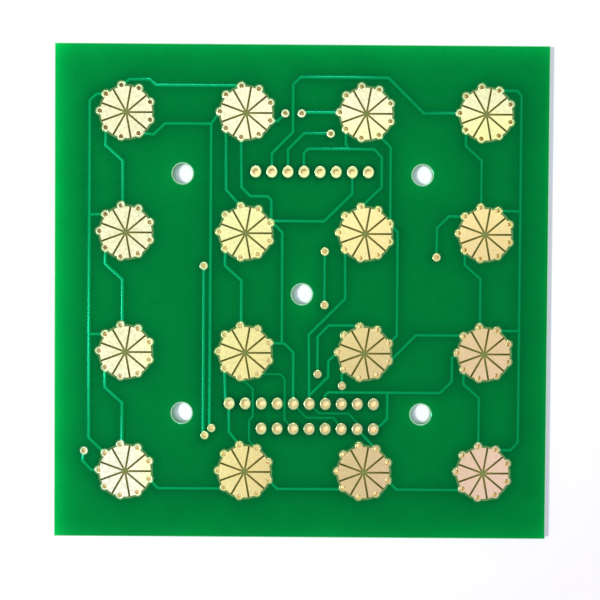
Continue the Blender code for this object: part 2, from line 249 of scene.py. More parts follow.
# %% [markdown]
# ## Light
#
# Plain studio light has three parts. A sun from the left gives the short shadow along the right edge
# and the glints on the left shoulders of the tracks. A weaker sun from the far side is seen only in
# glossy surfaces, for the glints on the far shoulders. The world lights everything evenly, so that no
# shadow goes black, and is weaker on matt surfaces than the white that a camera or a mirror sees. The
# view transform is Standard, so that a colour renders about as it is written.

# %% Two suns and a white world
KEY_LIGHT = {"strength": 2.0, "bearing": 191, "height": 58, "spread": 7}
FAR_LIGHT = {"strength": 1.0, "bearing": 88, "height": 60, "spread": 9}
WORLD_LIGHT = 0.45


def add_sun(name, strength, bearing, height, spread):
    """A sun that shines from a bearing, in degrees from +X, and a height above the floor."""
    tilt, turn = math.radians(90 - height), math.radians(bearing + 90)
    bpy.ops.object.light_add(type="SUN", rotation=(tilt, 0, turn))
    sun = bpy.context.object
    sun.name = name
    sun.data.energy = strength
    sun.data.angle = math.radians(spread)
    return sun


bpy.context.scene.view_settings.view_transform = "Standard"
add_sun("key_light", **KEY_LIGHT)
add_sun("far_light", **FAR_LIGHT).visible_diffuse = False
world = bpy.data.worlds.new("white_studio")
world.use_nodes = True
bpy.context.scene.world = world
level = ranged(seen_directly(world.node_tree), 0, 1, WORLD_LIGHT, 1)
set_inputs(world.node_tree.nodes["Background"], {"Strength": level, "Color": (1, 1, 1)})
print("two suns and a white world")

# %% [markdown]
# ## Heights through the board
#
# The layers are thinner than paper, so their heights are written down once. The copper is 20
# micrometres thick under the mask, and 45 where it is plated. The mask is 30 micrometres thick over
# the bare laminate, and it climbs over each track, which is why a track shows as a low ridge.

# %% The stack of layers, in millimetres
MICRON = 0.001
LAMINATE_BOTTOM = 0.045
LAMINATE_TOP = BOARD_THICKNESS - 0.075
MASK_TOP = LAMINATE_TOP + 0.030
TRACK_TOP = LAMINATE_TOP + 0.020
GOLD_TOP = LAMINATE_TOP + 0.045
RIDGE_TOP = BOARD_THICKNESS - MICRON
BACK_MASK_BOTTOM = 0.012
GOLD_BOTTOM = 0.0
print(f"tracks raise the mask by {(RIDGE_TOP - MASK_TOP) / MICRON:.0f} micrometres")

# %% [markdown]
# ## Where everything is
#
# The layout follows a few rules, so it is worked out rather than typed in. The contact pads sit on a
# square grid, each with nine lobes, one for each sector. The header holes are a tenth of an inch
# apart. Only the single holes and the bends of the tracks have places of their own.

# %% Pads, holes and rows of header holes
PAD_PITCH = 18.92
PAD_GRID_CENTRE = (0.66, -0.20)
SECTORS = 9
SECTOR_RADIUS = 4.08
LOBE_RADIUS = 0.60
LOBE_CIRCLE_SHIFT = (-0.08, 0.20)
PIN_PITCH = 2.54
MOUNT_CENTRE = (0.12, -0.33)
MOUNT_SPACING = 37.84
MOUNT_HOLE_RADIUS = 1.60
HEADERS = {"j1": ((-7.28, 18.98), 8), "j2": ((-11.27, -17.70), 10), "j3": ((-6.19, -21.68), 8)}
VIAS = {
    "via_1": (-2.66, 28.15),
    "via_2": (-0.09, 28.15),
    "via_3": (4.52, 25.00),
    "via_4": (3.72, 6.44),
    "via_5": (21.37, 5.62),
    "via_6": (-15.40, 4.06),
    "via_7": (3.72, -2.03),
    "via_8": (2.70, -12.98),
    "via_9": (6.57, -14.82),
    "via_10": (-14.07, -21.65),
    "via_11": (-15.15, -22.80),
    "via_12": (-34.27, -25.36),
}
PINS = {
    f"{header}_pin{number + 1}": (x + PIN_PITCH * number, y)
    for header, ((x, y), count) in HEADERS.items()
    for number in range(count)
}
PIN_PLACES, VIA_PLACES = list(PINS.values()), list(VIAS.values())
PADS = [(row, column) for row in range(1, 5) for column in range(1, 5)]
MOUNTS = [MOUNT_CENTRE] + [
    (MOUNT_CENTRE[0] + x * MOUNT_SPACING / 2, MOUNT_CENTRE[1] + y * MOUNT_SPACING / 2)
    for x in (-1, 1)
    for y in (-1, 1)
]


def hub(row, column):
    """Centre of a contact pad, in millimetres."""
    x = PAD_GRID_CENTRE[0] + (column - 2.5) * PAD_PITCH
    y = PAD_GRID_CENTRE[1] - (row - 2.5) * PAD_PITCH
    return (x, y)


def lobe_from_hub(bearing):
    """Centre of the lobe at a bearing, in degrees from +X, as seen from the pad's hub."""
    turn = math.radians(bearing)
    shift_x, shift_y = LOBE_CIRCLE_SHIFT
    return (shift_x + SECTOR_RADIUS * math.cos(turn), shift_y + SECTOR_RADIUS * math.sin(turn))


def lobe(row, column, bearing):
    """Centre of a pad's lobe on the board."""
    return tuple(a + b for a, b in zip(hub(row, column), lobe_from_hub(bearing)))


LOBE_BEARINGS = [360 / SECTORS * (number + 0.5) for number in range(SECTORS)]
LOBES = [lobe(row, column, bearing) for row, column in PADS for bearing in LOBE_BEARINGS]
print(f"{len(PADS)} pads, {len(LOBES)} lobes, {len(PINS)} header holes, {len(VIAS)} single holes")

# %% Check the layout against the frame
for row, column in ((4, 4), (2, 2)):
    low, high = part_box(f"contact_pad_r{row}c{column}")
    tip = lobe(row, column, 100)[1] + LOBE_RADIUS
    print(f"pad r{row}c{column}: top lobe ends at y {tip:.2f}, and the frame says {high.y / MM:.2f}")
low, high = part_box("eyelet_j1_pin1")
middle = (low + high) / 2 / MM
print(f"first header hole at {PINS['j1_pin1']}, and the frame says {middle.x:.2f}, {middle.y:.2f}")

# %% [markdown]
# ## The floor
#
# A plane would do for a floor, but its edge would show from a low angle. A wide disc whose rim is far
# away reads as endless. It is matt white, with painted shade of a faint lilac towards the near right.
# Part of its white is a glow that only the camera and mirrors see, so that the lamps can stay low and
# the board's shadow soft.
#
# Through a hole the floor's glow is painted differently. In a mounting hole it is painted a darker
# green close to the wall, as shade with green light that has come through the laminate. In a plated
# hole it is painted a warm cream, as light thrown down by the gold wall. That painted glow is
# strongest low in a header hole, with a painted shadow at its upper left, and at the left of each
# lobe's hole on the right half of the board, and it is weaker at the far left and the near right of
# the board.

# %% The painted glow of the floor under the holes
OPEN_GLOW = (0.26, 0.29, 0.38)
# Painted light: the warm glow in the plated holes, along the board from near to far.
HOLE_GLOWS = [
    (-26.0, (0.40, 0.38, 0.20)),
    (-22.5, (0.47, 0.38, 0.22)),
    (-17.0, (0.47, 0.38, 0.22)),
    (-14.0, (0.35, 0.32, 0.17)),
    (6.0, (0.31, 0.27, 0.10)),
    (14.0, (0.33, 0.29, 0.13)),
    (19.0, (0.40, 0.37, 0.17)),
    (24.0, (0.11, 0.11, 0.03)),
]
# Painted light and shadow: weaker at the far left and the near right, darker at the upper left of each
# header hole, and lighter at the left of each lobe's hole.
FAR_LEFT_FADE = (-38, -20, 0.1, 1.05)
NEAR_RIGHT_FADE = (40, 58, 1.0, 0.75)
PIN_LIGHT = (0.12, -0.18)
PIN_FADE = (0.22, 0.62, 1.35, 0.15)
PIN_REACH = 1.0
LOBE_FADE = (-0.15, 0.30, 2.2, 0.15)
LOBE_REACH = 0.5


def from_pad(x, y, shift=(0, 0)):
    """X and Y from the middle of the pad that is nearest on the grid, and the distance to it."""
    starts = [middle + moved - PAD_PITCH / 2 for middle, moved in zip(hub(1, 1), shift)]
    x, y = [
        (value - start).wrapped(PAD_PITCH, 0.0) - PAD_PITCH / 2
        for value, start in zip((x, y), starts)
    ]
    return x, y, (x * x + y * y).root()


def light_under_lobes(x, y):
    """Painted light: high at the left of each lobe's hole and low at its right, on the right half of
    the board.
    """
    pad_x, pad_y, reach = from_pad(x, y, LOBE_CIRCLE_SHIFT)
    sector = math.tau / SECTORS
    bearing = pad_y.arctan2(pad_x)
    lobe_bearing = bearing - bearing.wrapped(sector, 0.0) + sector / 2
    light = ranged(pad_x - lobe_bearing.cosine() * SECTOR_RADIUS, *LOBE_FADE)
    here = (abs(reach - SECTOR_RADIUS) < LOBE_REACH) * (x > 0.0)
    return (light - 1.0) * here + 1.0


def glow_under_plating(here, x, y):
    """The painted warm glow in the plated holes, by their place on the board."""
    stops = [(along / BOARD_SIDE + 0.5, colour) for along, colour in HOLE_GLOWS]
    glow = colour_ramp(ranged(y, -BOARD_SIDE / 2, BOARD_SIDE / 2, 0, 1), stops)
    glow = scaled(glow, ranged(x - y * 0.5, *FAR_LEFT_FADE))
    glow = scaled(glow, ranged(x - y, *NEAR_RIGHT_FADE))
    lit = [(pin[0] + PIN_LIGHT[0], pin[1] + PIN_LIGHT[1]) for pin in PIN_PLACES]
    to_light = to_nearest(here, lit)
    glow = scaled(glow, ranged(to_light, *PIN_FADE).largest(to_light > PIN_REACH))
    return scaled(glow, light_under_lobes(x, y))


print(f"{len(HOLE_GLOWS)} glows up the board")

# %% A wide pale floor
FLOOR_RADIUS = 1.6
FLOOR_DROP = 0.004
TABLE_WHITE, TABLE_LILAC = (0.84, 0.82, 0.80), (0.72, 0.67, 0.66)
LILAC_RANGE = (20, 90, 0, 1)
# Painted shade in a mounting hole: a darker green close to the wall, deepest at the left.
PAINTED_WALL_SHADE = (0.0, 0.11, 0.08)
WALL_SHIFT = 0.22
WALL_RANGE = (1.0, 1.65, 0, 1)
MOUNT_REACH = 2.2
BENEATH_MARGIN = 1.0

floor_finish, shader, here = new_material("pale_table")
at_x, at_y = coordinate(here, "X"), coordinate(here, "Y")
to_wall = to_nearest(here, [(x + WALL_SHIFT, y) for x, y in MOUNTS])
in_mount = blend(ranged(to_wall, *WALL_RANGE), OPEN_GLOW, PAINTED_WALL_SHADE)
under_board = blend(to_wall > MOUNT_REACH, in_mount, glow_under_plating(here, at_x, at_y))
beneath = abs(at_x).largest(abs(at_y)) < BOARD_SIDE / 2 - BENEATH_MARGIN
set_inputs(shader, {
    # Painted shade on the floor: a faint lilac towards the near right.
    "Base Color": blend(ranged(at_x - at_y, *LILAC_RANGE), TABLE_WHITE, TABLE_LILAC),
    "Emission Color": blend(beneath, OPEN_GLOW, under_board),
    "Emission Strength": seen_directly(here.tree),
    "Roughness": 1.0,
    "Specular IOR Level": 0.0,
})
bpy.ops.mesh.primitive_circle_add(
    vertices=96, radius=FLOOR_RADIUS, fill_type="NGON", location=(0, 0, -FLOOR_DROP * MM)
)
floor = bpy.context.object
floor.name = "floor"
floor.data.materials.append(floor_finish)
floor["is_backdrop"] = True
print(f"floor {2 * FLOOR_RADIUS:.1f} m across")

# %% [markdown]
# ## Routes of the tracks
#
# A track is drawn the way a layout program draws it, as a line with a few bends and a constant width.
# Many tracks share a shape. A drop leaves the lower left lobe of a pad, bends twice and meets the top
# lobe of the pad below. A branch runs straight across from one of the two long upright lines. The
# routes are grouped by the piece of copper that they belong to, because that is what one piece is.

# %% Shapes that several tracks share
LEFT_LINE_X = -33.47
RIGHT_LINE_X = 34.53
FOOT_LINE_Y = -31.25
DROP_SLOPE = 0.9


def drop(row, column, bend_y, end_x):
    """From a pad's lower left lobe down to the top lobe of the pad below it."""
    start = lobe(row, column, 220)
    level_y = bend_y - DROP_SLOPE * (end_x - start[0])
    end_y = lobe(row + 1, column, 100)[1]
    return [start, (start[0], bend_y), (end_x, level_y), (end_x, end_y)]


def branch(line_x, row, column, bearing):
    """Straight across from an upright line to a lobe."""
    end = lobe(row, column, bearing)
    return [(line_x, end[1]), end]


def foot_link(column):
    """Along the foot of the board, from a pad of the last row to the next one."""
    start = lobe(4, column, 340)
    bend_x = start[0] + start[1] - FOOT_LINE_Y
    end_x = lobe(4, column + 1, 220)[0]
    return [start, (bend_x, FOOT_LINE_Y), (end_x, FOOT_LINE_Y)]


print(f"a drop has {len(drop(2, 1, 4.3, -28.2))} points")

# %% Tracks that belong to the contact pads
left_line = [
    lobe(1, 1, 140),
    (LEFT_LINE_X + 1.07, lobe(1, 1, 140)[1]),
    (LEFT_LINE_X, 30.0),
    (LEFT_LINE_X, -23.3),
    lobe(4, 1, 140),
]
right_line = [
    lobe(1, 4, 60),
    (RIGHT_LINE_X - 0.68, lobe(1, 4, 60)[1]),
    (RIGHT_LINE_X, 31.15),
    (RIGHT_LINE_X, -23.6),
    (RIGHT_LINE_X - 1.13, lobe(4, 4, 60)[1]),
    lobe(4, 4, 60),
]
TRACKS = {
    "contact_pad_r1c1": [
        [lobe(1, 1, 100), (-27.3, 33.32), (-24.05, 33.32), (-23.05, 32.4), lobe(1, 2, 100)],
        left_line,
        branch(LEFT_LINE_X, 2, 1, 140),
        branch(LEFT_LINE_X, 3, 1, 140),
        drop(1, 1, 23.0, -28.2),
    ],
    "contact_pad_r2c1": [drop(2, 1, 4.3, -28.2)],
    "contact_pad_r3c1": [drop(3, 1, -15.25, -28.2)],
    "contact_pad_r1c2": [
        [lobe(1, 2, 220), (-11.9, 16.1), lobe(2, 2, 100)],
        [lobe(1, 2, 260), (-9.48, 16.5), (-8.1, 15.07), (-5.35, 15.07), (-4.76, 14.45),
         (-4.76, 10.86)],
    ],
    "contact_pad_r2c2": [drop(2, 2, 4.1, -9.4)],
    "contact_pad_r1c3": [[lobe(1, 3, 300), (14.0, 22.9), (14.0, 10.86)]],
    "contact_pad_r2c3": [[lobe(2, 3, 20), (15.2, 9.6), (15.2, -6.8), lobe(3, 3, 20)]],
    "contact_pad_r3c3": [[lobe(3, 3, 340), (14.6, -10.4), (18.2, -6.72), (25.84, -6.72)]],
    "contact_pad_r1c4": [
        right_line,
        branch(RIGHT_LINE_X, 2, 4, 60),
        branch(RIGHT_LINE_X, 3, 4, 60),
        drop(1, 4, 23.2, 28.35),
    ],
    "contact_pad_r2c4": [drop(2, 4, 4.5, 28.35)],
    "contact_pad_r3c4": [drop(3, 4, -14.4, 28.29)],
    "contact_pad_r4c1": [foot_link(1)],
    "contact_pad_r4c2": [foot_link(2)],
    "contact_pad_r4c3": [foot_link(3)],
}
print(f"{sum(len(routes) for routes in TRACKS.values())} tracks on the contact pads")

# %% Tracks that join plated holes
TRACKS.update({
    "net_j1_pin2": [
        [PINS["j1_pin2"], (-4.74, 21.85), (-1.45, 25.2), (-1.45, 32.7), (-0.3, 33.8),
         (13.55, 33.8), (19.15, 28.28), (24.88, 28.28)],
    ],
    "net_j1_pin3_via_3": [[PINS["j1_pin3"], (-2.2, 22.5), (0.3, 25.0), VIAS["via_3"]]],
    "net_j1_pin4": [
        [PINS["j1_pin4"], (0.29, 21.9), (0.95, 22.57), (11.4, 22.57), (12.6, 21.35),
         (12.6, 16.6), lobe(2, 3, 100)],
        [lobe(1, 3, 220), (6.9, 23.3), (7.5, 22.57)],
    ],
    "net_j1_pin7": [[PINS["j1_pin7"], (8.0, 15.6), (3.55, 11.18), (-5.04, 11.18)]],
    "net_j2_pin1": [
        [lobe(3, 2, 220), (-11.8, -17.7)],
        [PINS["j2_pin1"], (-11.27, -22.2), lobe(4, 2, 100)],
    ],
    "net_j2_pin5_j3_pin6": [
        [lobe(2, 2, 20), (-4.1, 10.5), (-3.0, 9.4), (-3.0, -8.17)],
        [lobe(3, 2, 20), (-2.55, -8.17), (-1.15, -9.55), PINS["j2_pin5"]],
    ],
    "net_j2_pin6_j3_pin7": [
        [lobe(2, 3, 220), (7.0, -1.0), (1.27, -6.75), PINS["j2_pin6"]],
        [lobe(3, 3, 180), (4.4, -10.85), (4.4, -13.4), (1.45, -16.35)],
        [PINS["j3_pin7"], lobe(4, 3, 60)],
    ],
    "net_j2_pin7_j3_pin8": [
        [PINS["j2_pin7"], (3.9, -16.35), (4.4, -15.85), (22.1, -15.85), (23.97, -14.0),
         (23.97, -10.3), lobe(3, 4, 180)],
        [(13.79, -15.85), (13.79, -20.0), (12.8, -21.0), PINS["j3_pin8"]],
    ],
    "net_via_1": [[lobe(1, 2, 340), (-3.9, 26.87), VIAS["via_1"]]],
    "net_via_2": [[(-0.09, 28.25), (5.96, 28.25)]],
    "net_via_4_via_7": [[VIAS["via_4"], VIAS["via_7"]]],
    "net_via_5": [[lobe(2, 4, 140), (23.25, 12.08), (21.4, 10.25), VIAS["via_5"]]],
    "net_via_6_via_11": [[(-15.36, 4.06), (-15.36, -22.8)]],
    "net_via_8": [[VIAS["via_8"], (2.68, -7.05), (4.4, -5.25), (9.33, -5.25)]],
    "net_via_9": [[VIAS["via_9"], (6.55, -13.2), lobe(3, 3, 220)]],
    "net_via_10": [
        [lobe(1, 1, 300), (-23.4, 24.7), (-21.6, 26.43), (-14.33, 26.43), lobe(1, 2, 180)],
        [(-14.33, 26.43), (-14.33, -21.65)],
    ],
    "net_via_12": [[VIAS["via_12"], (-34.4, -27.0), (-33.1, -28.4), lobe(4, 1, 180)]],
})
THIN_TRACKS = {
    "contact_pad_r3c2": [
        [lobe(3, 2, 260), (-7.5, -15.4), (-7.5, -19.8), (-8.07, -20.4), (-8.07, -23.6),
         lobe(4, 2, 60)],
    ],
    "net_j2_pin5_j3_pin6": [[PINS["j2_pin5"], (0.95, -19.9), (5.35, -19.9), PINS["j3_pin6"]]],
    "net_j2_pin6_j3_pin7": [
        [PINS["j2_pin6"], (3.0, -19.2), (7.65, -19.2), (9.0, -20.6), PINS["j3_pin7"]],
    ],
    "net_j3_pin3": [
        [lobe(3, 2, 300), (-3.2, -13.02), (-2.47, -13.75), (-2.47, -20.2), PINS["j3_pin3"]],
    ],
}
wide = sum(len(routes) for routes in TRACKS.values())
print(f"{wide} wide tracks and {len(THIN_TRACKS)} thin ones")

# %% [markdown]
# ## Working as by hand
#
# An operator acts on whatever is selected, so each step starts from nothing selected. The next
# helpers do what a modeller does with the mouse: name the object that was just added, select the
# faces that match a rule, and apply a modifier.

# %% Helpers for selecting and naming
def deselect_all():
    """Nothing selected, in object mode."""
    bpy.ops.object.select_all(action="DESELECT")


def newest(name):
    """The object that was just added, under its own name."""
    made = bpy.context.object
    made.name = name
    made.data.name = name
    return made


def activate(piece):
    """One object selected and active."""
    deselect_all()
    piece.select_set(True)
    bpy.context.view_layer.objects.active = piece


def edit(piece, kind="FACE", action="DESELECT"):
    """Edit mode on one object, by its vertices or faces, with none or all of them selected."""
    activate(piece)
    bpy.ops.object.mode_set(mode="EDIT")
    bpy.ops.mesh.select_mode(type=kind)
    bpy.ops.mesh.select_all(action=action)


def leave_edit():
    """Back to object mode."""
    bpy.ops.object.mode_set(mode="OBJECT")


def edit_where(piece, wanted, kind="FACE"):
    """Edit mode on one object, with only the faces or vertices selected that are wanted."""
    edit(piece, kind)
    leave_edit()
    for part in piece.data.polygons if kind == "FACE" else piece.data.vertices:
        part.select = wanted(part)
    bpy.ops.object.mode_set(mode="EDIT")


def faces_up(face):
    """True for a face that looks up, or nearly so."""
    return face.normal.z > 0.9


def settle(piece):
    """The object's place goes into its mesh, and the object to the origin."""
    activate(piece)
    bpy.ops.object.transform_apply(location=True, rotation=True, scale=True)
    return piece


print("selection helpers ready")

# %% Helpers for modifiers and copies
def apply_modifier(piece, kind, **settings):
    """A modifier with its settings, applied at once."""
    modifier = piece.modifiers.new(kind.lower(), kind)
    for name, value in settings.items():
        setattr(modifier, name, value)
    activate(piece)
    bpy.ops.object.modifier_apply(modifier=modifier.name)


def combine(piece, tool, operation, crossing=False):
    """A Boolean with a tool, which is then thrown away. Crossing is for tools that cut themselves."""
    apply_modifier(
        piece, "BOOLEAN", operation=operation, solver="EXACT", object=tool, use_self=crossing
    )
    bpy.data.objects.remove(tool)


def join(pieces, name):
    """Several objects become one."""
    activate(pieces[0])
    for piece in pieces[1:]:
        piece.select_set(True)
    if len(pieces) > 1:
        bpy.ops.object.join()
    return newest(name)


def copy_to(pattern, name, place):
    """A copy of a finished shape with a mesh of its own, moved to a place in millimetres."""
    activate(pattern)
    bpy.ops.object.duplicate()
    twin = newest(name)
    twin.location = (place[0] * MM, place[1] * MM, 0)
    return settle(twin)


def copies_at(pattern, places, name):
    """One copy of a shape at each place, as one object. The pattern is used up."""
    twins = [copy_to(pattern, f"{name}_{number}", place) for number, place in enumerate(places)]
    bpy.data.objects.remove(pattern)
    return join(twins, name)


def round_off(piece, angle=30):
    """Smooth shading across every bend of less than this many degrees."""
    activate(piece)
    bpy.ops.object.shade_smooth_by_angle(angle=math.radians(angle))


print("modelling helpers ready")

# %% [markdown]
# ## Drills
#
# Round holes are cut with a Boolean. One drill is modelled, copied to every hole, and the copies are
# joined, so that a single cut does them all. A drill is a disc that is thicker than the board. The
# larger holes get more sides, because there corners would show.

# %% Discs and drills
def disc(name, radius, sides, place, low, high):
    """A flat round plate between two heights."""
    deselect_all()
    bpy.ops.mesh.primitive_cylinder_add(
        vertices=sides, radius=radius * MM, depth=(high - low) * MM,
        location=(place[0] * MM, place[1] * MM, (low + high) / 2 * MM),
    )
    return settle(newest(name))


def drill_holes(sheet, mount, pin, via):
    """Every hole cut through a sheet. Each kind of hole has its radius and its number of sides."""
    drills = []
    for (radius, sides), places in ((mount, MOUNTS), (pin, PIN_PLACES), (via, VIA_PLACES + LOBES)):
        pattern = disc("drill", radius, sides, (0, 0), -BOARD_THICKNESS, 2 * BOARD_THICKNESS)
        drills.append(copies_at(pattern, places, "drill"))
    combine(sheet, join(drills, "drills"), "DIFFERENCE")
    round_off(sheet)


print("drills ready")

# %% [markdown]
# ## The laminate
#
# A cube is added at the board's size, and a very small bevel takes the sharpness off its edges. Then
# every hole is drilled: the five large mounting holes, and a hole for each barrel of plating.
# The barrels fit their holes with a few micrometres to spare, so that the two never share a surface.

# %% Saw and drill the laminate
PIN_BORE, PIN_BARREL, PIN_RING = 0.51, 0.56, 0.86
PIN_OVAL = (0.955, 1.045)
VIA_BORE, VIA_BARREL, VIA_RING = 0.35, 0.40, 0.60
FIT = 0.004
SAWN_EDGE = 0.02


def slab(name, side, low, high):
    """A square slab between two heights."""
    deselect_all()
    bpy.ops.mesh.primitive_cube_add(size=1, location=(0, 0, (low + high) / 2 * MM))
    made = newest(name)
    made.scale = (side * MM, side * MM, (high - low) * MM)
    return settle(made)


laminate = slab("drilled_laminate", BOARD_SIDE, LAMINATE_BOTTOM, LAMINATE_TOP)
apply_modifier(laminate, "BEVEL", width=SAWN_EDGE * MM, segments=1, limit_method="ANGLE")
drill_holes(laminate, (MOUNT_HOLE_RADIUS, 64), (PIN_BARREL + FIT, 24), (VIA_BARREL + FIT, 20))
print(f"laminate with {len(laminate.data.polygons)} faces")

# %% [markdown]
# ## Ribbons along the tracks
#
# Both the copper of a track and the mask over it are strips along the same line, so one helper makes
# them. In edit mode a small plane is merged to a single vertex, and the vertex is extruded from bend
# to bend. All the lines are then extruded upwards into a thin wall, and Solidify gives the wall its
# width. Even thickness keeps the width the same round a bend, so the corners come out mitred.

# %% From a line to a strip of even width
POINT_SIZE = 0.1


def draw_lines(name, routes):
    """An object that holds only lines, one for each route of points."""
    deselect_all()
    bpy.ops.mesh.primitive_plane_add(size=POINT_SIZE * MM)
    drawn = newest(name)
    edit(drawn, "VERT", "SELECT")
    bpy.ops.mesh.delete(type="VERT")
    for route in routes:
        corners = [Vector(point) * MM for point in route]
        bpy.ops.mesh.select_all(action="DESELECT")
        bpy.ops.mesh.primitive_plane_add(size=POINT_SIZE * MM, location=corners[0])
        bpy.ops.mesh.merge(type="CENTER")
        for start, end in zip(corners, corners[1:]):
            bpy.ops.mesh.extrude_vertices_move(TRANSFORM_OT_translate={"value": end - start})
    leave_edit()
    return drawn


def strips(name, routes, width, low, high):
    """Strips along routes, closed all round, between two heights."""
    made = draw_lines(name, [[(x, y, low) for x, y in route] for route in routes])
    edit(made, "VERT", "SELECT")
    bpy.ops.mesh.extrude_region_move(TRANSFORM_OT_translate={"value": (0, 0, (high - low) * MM)})
    leave_edit()
    wall = {"thickness": width * MM, "offset": 0, "use_even_offset": True}
    apply_modifier(made, "SOLIDIFY", use_quality_normals=True, **wall)
    edit(made, action="SELECT")
    bpy.ops.mesh.normals_make_consistent(inside=False)
    leave_edit()
    return made


print("strip helper ready")

# %% [markdown]
# ## The mask's relief over the tracks
#
# Liquid solder mask flows down the sides of a track before it sets, so the ridge has soft shoulders
# and a narrow crown. The strip starts wider than the copper. Three insets in a row, each with its own
# step inwards and its own share of the height, lift its top faces into that shape. A bevel would have
# made the same height with a much steeper shoulder, and a steep shoulder catches the light on every
# track instead of only on those that face it.

# %% Ridges with soft shoulders
TRACK, THIN_TRACK = 0.45, 0.30
FOOT_SPREAD, FOOT_DEPTH = 0.09, 0.003
ROOT_HEIGHT = 0.01
SHOULDER = [(0.07, 0.25), (0.12, 0.45), (0.07, 0.30)]


def ridges(name, group, width):
    """The mask's ridge over a group of tracks of one width."""
    foot = MASK_TOP - FOOT_DEPTH
    routes = [route for routes in group.values() for route in routes]
    made = strips(name, routes, width + 2 * FOOT_SPREAD, LAMINATE_TOP + ROOT_HEIGHT, foot)
    edit_where(made, lambda face: faces_up(face) and face.center.z > (foot - MICRON) * MM)
    for inwards, share in SHOULDER:
        rise = (RIDGE_TOP - foot) * share * width / TRACK
        bpy.ops.mesh.inset(
            thickness=inwards * width / TRACK * MM, depth=rise * MM, use_even_offset=True
        )
    leave_edit()
    return made


wide_ridges = ridges("relief_wide", TRACKS, TRACK)
relief = join([wide_ridges, ridges("relief_thin", THIN_TRACKS, THIN_TRACK)], "relief")
print(f"relief over the tracks with {len(relief.data.polygons)} faces")

# %% [markdown]
# ## The film of solder mask
#
# The film is a slab 30 micrometres thick that ends just inside the board's sides, where a thin line
# of laminate stays bare. Its top face is subdivided into small squares, because a later step gives
# each of its points a value of painted light and shade. The ridges are united with it, and then the
# windows are punched out, over each contact pad and round each plated hole.

# %% Unite the sheet with its relief
FILM_CELLS = 120
BARE_RIM = 0.10
CLEARANCE = 0.0005

film_side = BOARD_SIDE - 2 * BARE_RIM
front_mask = slab("front_mask_film", film_side, LAMINATE_TOP + CLEARANCE, MASK_TOP)
edit_where(front_mask, faces_up)
bpy.ops.mesh.subdivide(number_cuts=FILM_CELLS - 1)
leave_edit()
combine(front_mask, relief, "UNION", crossing=True)
print(f"mask and relief with {len(front_mask.data.polygons)} faces")

# %% [markdown]
# ## Windows in the mask
#
# A window over a contact pad is a disc with nine small discs round it, a little larger than the gold.
# Developed mask has sloping edges, so the punch is narrower at its foot: its lower faces are inset
# inwards and downwards, and only then pulled down through the film. The slope shows as a pale line
# round every window. It is widest round the contact pads and narrowest round the rings, and each
# punch is given its own width of slope.

# %% Punches with a sloping foot
WINDOW_RADIUS = 4.22
WINDOW_MARGIN = 0.02
MOUNT_MASK_RADIUS = 1.72
PAD_SLOPE, RING_SLOPE, MOUNT_SLOPE = 0.17, 0.07, 0.09
PUNCH_LOW, PUNCH_HIGH = MASK_TOP, MASK_TOP + 0.2
PUNCH_STROKE = 0.05


def make_oval(piece, oval):
    """What lies outside the barrel is stretched along X and Y."""
    barrel = (PIN_BARREL + 0.01) * MM
    edit_where(piece, lambda vertex: math.hypot(vertex.co.x, vertex.co.y) > barrel, "VERT")
    bpy.ops.transform.resize(value=(*oval, 1), center_override=(0, 0, 0))
    leave_edit()


def slope_foot(punch, slope):
    """The punch's lower face is drawn in and down, then straight down through the film."""
    lowest = min(vertex.co.z for vertex in punch.data.vertices)
    edit_where(punch, lambda face: face.normal.z < -0.9 and face.center.z < lowest + MICRON * MM)
    bpy.ops.mesh.inset(thickness=slope * MM, depth=(MASK_TOP - LAMINATE_TOP) * MM)
    bpy.ops.mesh.extrude_region_move(TRANSFORM_OT_translate={"value": (0, 0, -PUNCH_STROKE * MM)})
    leave_edit()
    return punch


def round_punch(name, radius, slope, sides, places, oval=None):
    """Punches for round or oval windows."""
    pattern = disc(name, radius + slope, sides, (0, 0), PUNCH_LOW, PUNCH_HIGH)
    if oval:
        make_oval(pattern, oval)
    return copies_at(slope_foot(pattern, slope), places, name)


def pad_punch():
    """The punch for a contact pad's window, around the origin."""
    middle = disc("pad_punch", WINDOW_RADIUS + PAD_SLOPE, 108, (0, 0), PUNCH_LOW, PUNCH_HIGH)
    lobe_radius = LOBE_RADIUS + WINDOW_MARGIN + PAD_SLOPE
    for bearing in LOBE_BEARINGS:
        place = lobe_from_hub(bearing)
        combine(middle, disc("lobe", lobe_radius, 32, place, PUNCH_LOW, PUNCH_HIGH), "UNION")
    edit(middle, action="SELECT")
    bpy.ops.mesh.dissolve_limited(angle_limit=math.radians(1))
    leave_edit()
    return slope_foot(middle, PAD_SLOPE)


print(f"slopes {PAD_SLOPE} mm wide at the pads and {RING_SLOPE} mm at the rings")

# %% Punch the windows
window_punches = [
    copies_at(pad_punch(), [hub(*pad) for pad in PADS], "pad_windows"),
    round_punch("pin_windows", PIN_RING + WINDOW_MARGIN, RING_SLOPE, 32, PIN_PLACES, PIN_OVAL),
    round_punch("via_windows", VIA_RING + WINDOW_MARGIN, RING_SLOPE, 28, VIA_PLACES),
    round_punch("mount_windows", MOUNT_MASK_RADIUS, MOUNT_SLOPE, 64, MOUNTS),
]
combine(front_mask, join(window_punches, "punches"), "DIFFERENCE")
round_off(front_mask, 16)
print(f"front mask with {len(front_mask.data.polygons)} faces")

# %% [markdown]
# ## The back of the board
#
# The back has the same film, with a round window at every plated hole, and no relief.

# %% The back mask
back_mask = slab("back_mask_film", BOARD_SIDE, BACK_MASK_BOTTOM, LAMINATE_BOTTOM - CLEARANCE)
pin_window, via_window = (PIN_RING + WINDOW_MARGIN, 32), (VIA_RING + WINDOW_MARGIN, 28)
drill_holes(back_mask, (MOUNT_MASK_RADIUS, 64), pin_window, via_window)
print(f"back mask with {len(back_mask.data.polygons)} faces")

